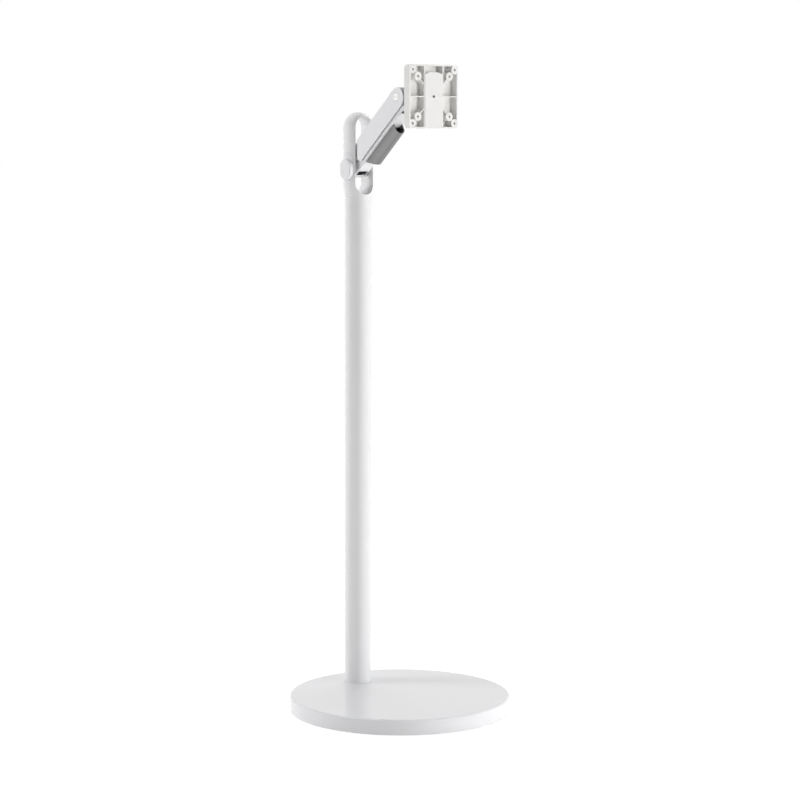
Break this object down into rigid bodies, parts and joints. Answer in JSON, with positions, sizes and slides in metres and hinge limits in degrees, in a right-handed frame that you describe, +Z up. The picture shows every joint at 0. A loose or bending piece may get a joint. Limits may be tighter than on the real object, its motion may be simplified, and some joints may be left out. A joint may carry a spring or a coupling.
{
  "type": "floor stand",
  "caption": "White floor stand: weighted round base, tall pole with a loop head, and a short gas-spring parallel arm carrying a square ribbed plate for a tablet or small display.",
  "frame": {"origin": "on the floor, under the middle of the round base", "axes": "+Z up the pole, -Y to the front, where the display faces, +X to the right as seen from the front"},
  "size_m": [0.4299, 0.43, 1.2516],
  "materials": {
    "white_shell": "gloss",
    "white_steel": "satin",
    "white_casting": "satin",
    "bare_aluminium": "satin",
    "dark_steel": "satin",
    "plated_steel": "satin",
    "bearing_plastic": "matte",
    "foot_rubber": "matte"
  },
  "bodies": {
    "stand": {"base_cover": "white_shell", "ballast_plate": "dark_steel", "rubber_feet": "foot_rubber", "cover_screws": "plated_steel", "pole_flange": "dark_steel", "flange_bolts": "plated_steel", "pole": "white_steel", "head_yoke": "white_casting", "head_screws": "plated_steel", "pivot_cap_right": "white_shell", "pivot_cap_left": "white_shell", "upper_rear_axle": "plated_steel", "lower_rear_axle": "plated_steel", "axle_nuts": "plated_steel", "rod_spacers": "bearing_plastic"},
    "upper_arm": {"upper_link": "white_steel", "upper_cover": "white_shell", "upper_rear_bushes": "bearing_plastic", "upper_front_axle": "plated_steel", "front_axle_nut": "plated_steel", "anchor_pin": "plated_steel"},
    "lower_arm": {"lower_link": "white_steel", "cable_duct": "bare_aluminium", "duct_screws": "plated_steel", "lower_rear_bushes": "bearing_plastic", "lower_front_axle": "plated_steel"},
    "knuckle": {"arm_knuckle": "bare_aluminium", "upper_front_bushes": "bearing_plastic", "lower_front_bushes": "bearing_plastic"},
    "spring_rod": {"gas_rod": "dark_steel", "gas_piston": "plated_steel"},
    "spring_cylinder": {"gas_cylinder": "dark_steel", "rod_guide": "plated_steel"},
    "swivel_head": {"swivel_bracket": "bare_aluminium", "swivel_pin": "plated_steel", "swivel_nut": "plated_steel", "swivel_washers": "bearing_plastic", "tilt_pin": "plated_steel", "tilt_nut": "plated_steel", "tilt_washers": "bearing_plastic"},
    "tilt_head": {"tilt_block": "bare_aluminium", "turn_washer": "bearing_plastic", "turn_screw": "plated_steel", "turn_head_washer": "plated_steel"},
    "display": {"display_plate": "white_casting", "mount_tongue": "white_shell", "tongue_screws": "plated_steel"}
  },
  "joints": [
    {"name": "arm_lift", "type": "hinge", "parent": "stand", "child": "upper_arm", "pos_m": [0, 0.138, 1.07], "axis": [-1, 0, 0], "range_deg": [-60, 15]},
    {"name": "lower_lift", "type": "hinge", "parent": "stand", "child": "lower_arm", "pos_m": [0, 0.138, 1.048], "axis": [-1, 0, 0], "range_deg": [-60, 15]},
    {"name": "knuckle_level", "type": "hinge", "parent": "upper_arm", "child": "knuckle", "pos_m": [0, -0.00755, 1.19213], "axis": [-1, 0, 0], "range_deg": [-15, 60]},
    {"name": "spring_swing", "type": "hinge", "parent": "stand", "child": "spring_rod", "pos_m": [0, 0.138, 1.048], "axis": [-1, 0, 0], "range_deg": [-58, 15]},
    {"name": "spring_stroke", "type": "slide", "parent": "spring_rod", "child": "spring_cylinder", "axis": [0, -0.6964, 0.7177], "range_m": [-0.021, 0.006]},
    {"name": "display_swivel", "type": "hinge", "parent": "knuckle", "child": "swivel_head", "pos_m": [0, -0.04155, 1.19213], "axis": [0, 0, 1], "range_deg": [-60, 60]},
    {"name": "display_tilt", "type": "hinge", "parent": "swivel_head", "child": "tilt_head", "pos_m": [0, -0.06605, 1.19213], "axis": [1, 0, 0], "range_deg": [-30, 30]},
    {"name": "display_turn", "type": "hinge", "parent": "tilt_head", "child": "display", "pos_m": [0, -0.09855, 1.19213], "axis": [0, -1, 0], "range_deg": [-90, 90]}
  ],
  "couplings": [
    {"joint": "lower_lift", "follows": "arm_lift", "ratio": 1},
    {"joint": "knuckle_level", "follows": "arm_lift", "ratio": -1},
    {"joint": "spring_swing", "follows": "arm_lift", "ratio": 0.9445},
    {"joint": "spring_stroke", "follows": "arm_lift", "m_per_rad": 0.019}
  ]
}
